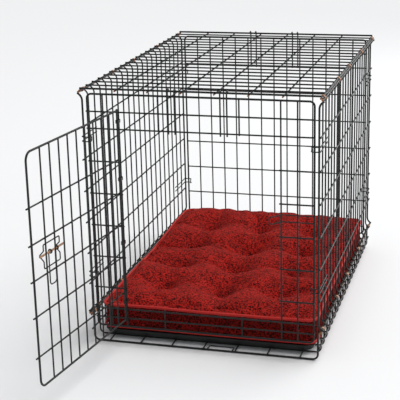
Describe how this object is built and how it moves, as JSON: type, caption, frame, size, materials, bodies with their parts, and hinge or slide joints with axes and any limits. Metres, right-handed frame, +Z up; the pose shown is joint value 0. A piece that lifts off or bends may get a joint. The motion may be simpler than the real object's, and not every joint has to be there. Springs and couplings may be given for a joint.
{
  "type": "wire dog crate",
  "caption": "Folding wire dog crate with a hinged front door, sliding latch bolt, corner hooks, clip hinges, a slide-out floor pan and a piped pad.",
  "frame": {"origin": "on the floor under the middle of the crate's base, where the two end floor wires stand", "axes": "+Z up, -Y out of the door end, +X to the right of somebody facing the door"},
  "size_m": [0.6306, 1.3378, 0.6922],
  "materials": {
    "wire": "black electro-coat over welded steel wire",
    "clips": "zinc wire gone to brown rust",
    "pan": "vacuum-formed sheet",
    "pad": "red fleece flecked with black",
    "piping": "plain woven cord cover"
  },
  "bodies": {
    "base": {"floor_end_wires": "wire", "floor_cross_wires": "wire", "floor_long_wires": "wire", "lip_middle_wires": "wire", "left_lower_hinge_wire": "wire", "right_lower_hinge_wire": "wire"},
    "left_side": {"left_side_uprights": "wire", "left_side_end_posts": "wire", "left_side_edge_wires": "wire", "left_side_long_wires": "wire", "left_lower_clips": "clips", "left_upper_clips": "clips", "left_front_hooks": "wire", "left_rear_hooks": "wire"},
    "right_side": {"right_side_uprights": "wire", "right_side_end_posts": "wire", "right_side_edge_wires": "wire", "right_side_long_wires": "wire", "right_lower_clips": "clips", "right_upper_clips": "clips", "right_front_hooks": "wire", "right_rear_hooks": "wire"},
    "top": {"top_cross_wires": "wire", "top_end_wires": "wire", "top_long_wires": "wire", "top_hinge_wires": "wire"},
    "front_panel": {"front_frame": "wire", "front_jamb_wires": "wire", "header_uprights": "wire", "sill_uprights": "wire", "header_bars": "wire", "sill_bars": "wire", "left_jamb_bars": "wire", "right_jamb_bars": "wire", "front_hinge_curls": "wire", "strike_loop": "wire", "door_hinge_clips": "wire"},
    "rear_panel": {"rear_frame": "wire", "rear_uprights": "wire", "rear_bars": "wire", "rear_hinge_curls": "wire"},
    "door": {"door_frame": "wire", "door_hinge_wire": "wire", "door_uprights": "wire", "door_bars": "wire", "latch_keeper": "wire"},
    "latch_bolt": {"latch_bolt": "clips"},
    "latch_handle": {"latch_handle": "wire"},
    "pan": {"pan": "pan"},
    "pan_stop": {"pan_stop": "wire"},
    "pad": {"pad_cushion": "pad", "pad_top_piping": "piping", "pad_bottom_piping": "piping"}
  },
  "joints": [
    {"name": "left_fold", "type": "hinge", "parent": "base", "child": "left_side", "pos_m": [-0.306, 0, 0.075], "axis": [0, 1, 0], "range_deg": [0, 78], "deforming": ["pad_cushion", "pad_top_piping", "pad_bottom_piping"]},
    {"name": "right_fold", "type": "hinge", "parent": "base", "child": "right_side", "pos_m": [0.306, 0, 0.075], "axis": [0, 1, 0], "range_deg": [0, 78]},
    {"name": "top_fold", "type": "hinge", "parent": "left_side", "child": "top", "pos_m": [-0.306, 0, 0.68], "axis": [0, 1, 0], "range_deg": [-78, 0]},
    {"name": "front_fold", "type": "hinge", "parent": "top", "child": "front_panel", "pos_m": [0, -0.443, 0.68495], "axis": [-1, 0, 0], "range_deg": [0, 90]},
    {"name": "rear_fold", "type": "hinge", "parent": "top", "child": "rear_panel", "pos_m": [0, 0.443, 0.68495], "axis": [1, 0, 0], "range_deg": [0, 90]},
    {"name": "door_swing", "type": "hinge", "parent": "front_panel", "child": "door", "pos_m": [-0.20714, -0.4532, 0.352], "axis": [0, 0, 1], "range_deg": [-72, 98]},
    {"name": "latch_slide", "type": "slide", "parent": "door", "child": "latch_bolt", "axis": [-0.1392, -0.9903, 0], "range_m": [0, 0.026]},
    {"name": "handle_swing", "type": "hinge", "parent": "latch_bolt", "child": "latch_handle", "pos_m": [-0.26155, -0.77425, 0.375], "axis": [0.1392, 0.9903, 0], "range_deg": [0, 150]},
    {"name": "pan_slide", "type": "slide", "parent": "base", "child": "pan", "axis": [0, -1, 0], "range_m": [0, 0.9]},
    {"name": "pan_stop_swing", "type": "hinge", "parent": "base", "child": "pan_stop", "pos_m": [0.043, -0.443, 0.0026], "axis": [1, 0, 0], "range_deg": [0, 90]},
    {"name": "pad_lift", "type": "slide", "parent": "base", "child": "pad", "axis": [0, 0, 1], "range_m": [0, 0.3]}
  ],
  "couplings": [
    {"joint": "right_fold", "follows": "left_fold", "ratio": 1},
    {"joint": "top_fold", "follows": "left_fold", "ratio": -1},
    {"joint": "front_fold", "follows": "left_fold", "ratio": 1.15},
    {"joint": "rear_fold", "follows": "left_fold", "ratio": 1.15}
  ]
}
